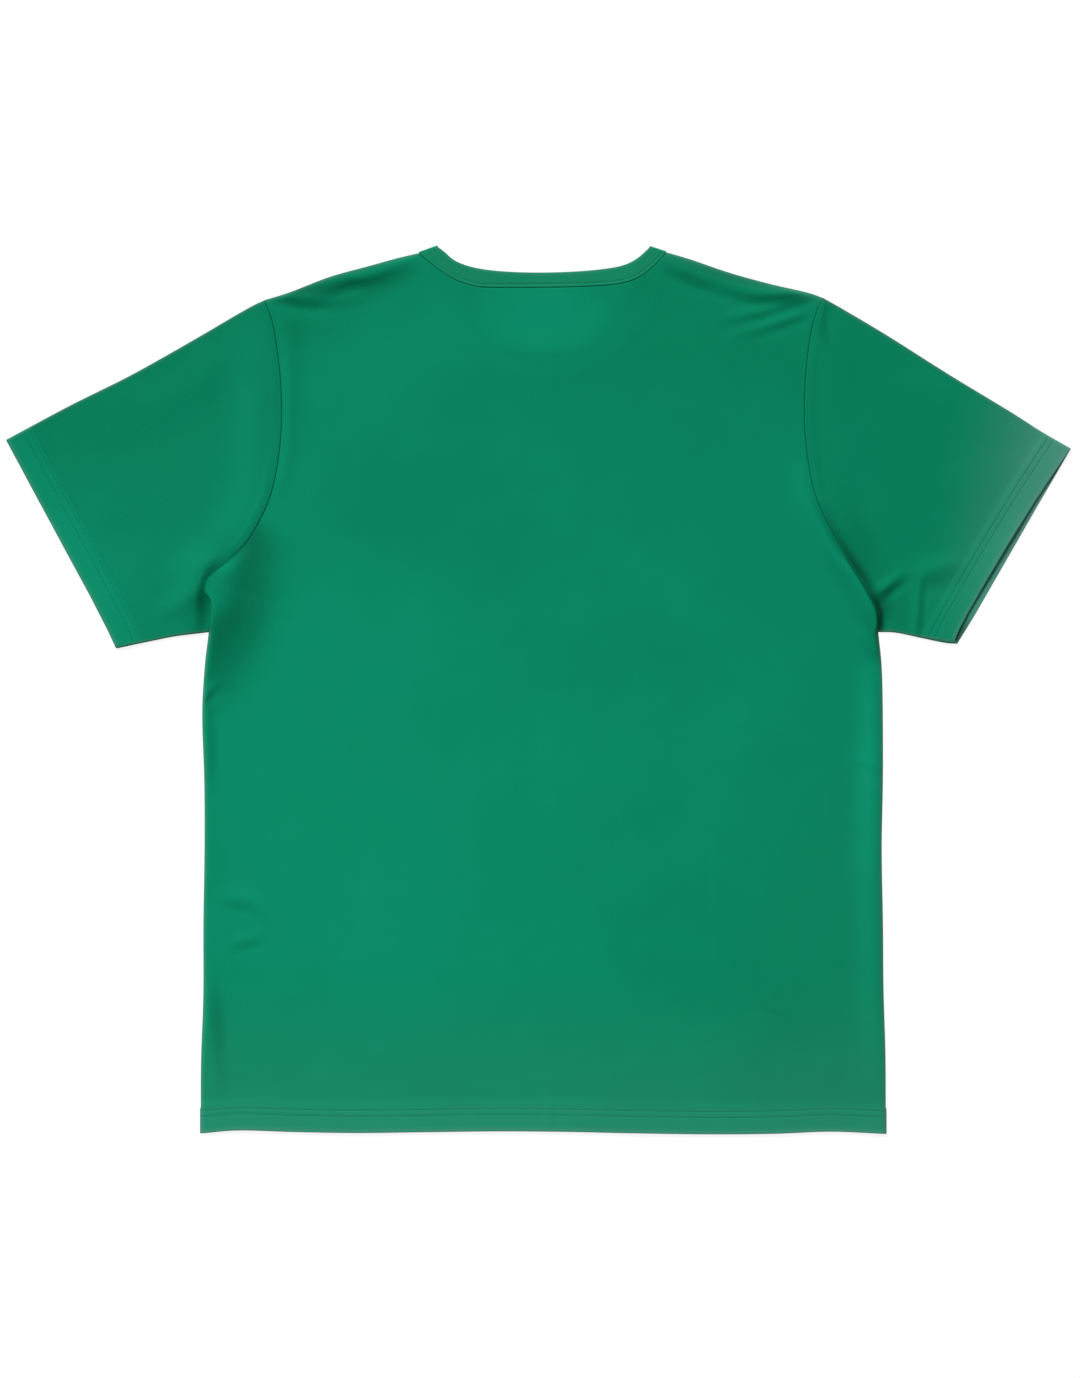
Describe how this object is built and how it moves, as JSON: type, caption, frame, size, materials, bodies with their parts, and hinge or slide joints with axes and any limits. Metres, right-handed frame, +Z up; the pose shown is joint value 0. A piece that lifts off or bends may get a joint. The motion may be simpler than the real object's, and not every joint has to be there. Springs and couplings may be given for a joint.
{
  "type": "sports t-shirt laid flat",
  "caption": "Short-sleeved crew-neck sports T-shirt in smooth jersey, laid flat with its back up.",
  "frame": {"origin": "on the surface that the garment lies on, below the middle of its outline", "axes": "+X to the right as the garment is seen from above, +Y from the hem towards the neck, +Z up from the surface"},
  "size_m": [0.8716, 0.7268, 0.0061],
  "materials": {
    "body_jersey": "smooth matt polyester jersey, green",
    "sleeve_jersey": "smooth matt polyester jersey, green",
    "band_jersey": "the same jersey folded double, green"
  },
  "bodies": {
    "root": {"back_panel": "body_jersey", "front_panel": "body_jersey", "left_sleeve": "sleeve_jersey", "right_sleeve": "sleeve_jersey", "neck_band": "band_jersey"}
  },
  "joints": []
}
